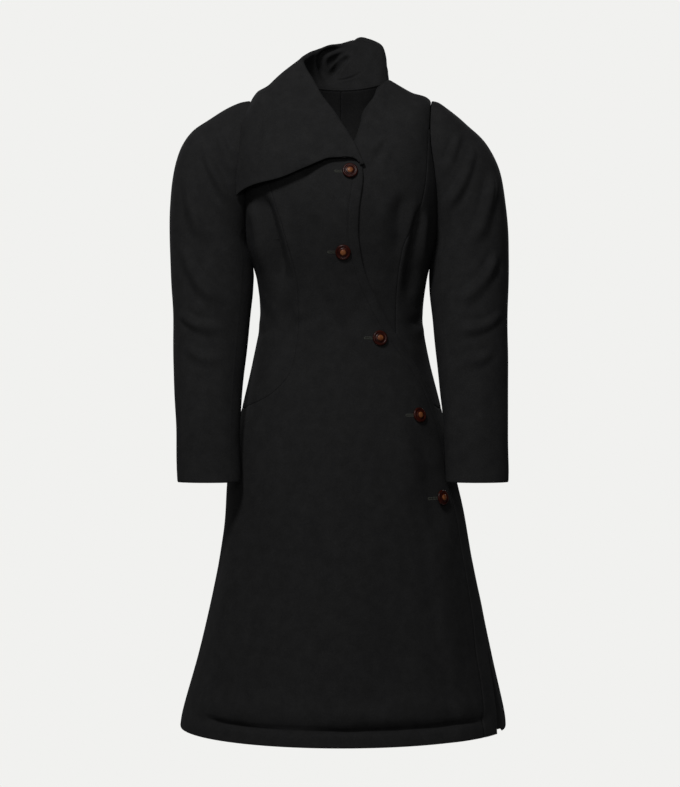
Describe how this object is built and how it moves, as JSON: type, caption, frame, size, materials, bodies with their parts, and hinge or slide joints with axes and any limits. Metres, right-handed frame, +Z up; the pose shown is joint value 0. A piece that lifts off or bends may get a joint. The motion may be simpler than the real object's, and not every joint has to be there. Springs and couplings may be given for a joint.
{
  "type": "coat",
  "caption": "Long fitted wool coat in the shape of a wearer, flared skirt, slanting overlap with domed buttons, large one-piece collar with one lapel turned back",
  "frame": {"origin": "middle of the neck base between the shoulders, where the wearer's shoulders hold the coat", "axes": "+X to the wearer's left, +Y to the wearer's back, +Z up; the front faces -Y"},
  "size_m": [0.5905, 0.4076, 1.2178],
  "materials": {
    "wool": "matte, softly brushed",
    "button": "glossy, translucent"
  },
  "bodies": {
    "root": {"front_right": "wool", "side_front_right": "wool", "front_left": "wool", "side_front_left": "wool", "back_right": "wool", "back_left": "wool", "top_sleeve_right": "wool", "under_sleeve_right": "wool", "top_sleeve_left": "wool", "under_sleeve_left": "wool", "collar": "wool", "button_1": "button", "button_2": "button", "button_3": "button", "button_4": "button", "button_5": "button"}
  },
  "joints": []
}
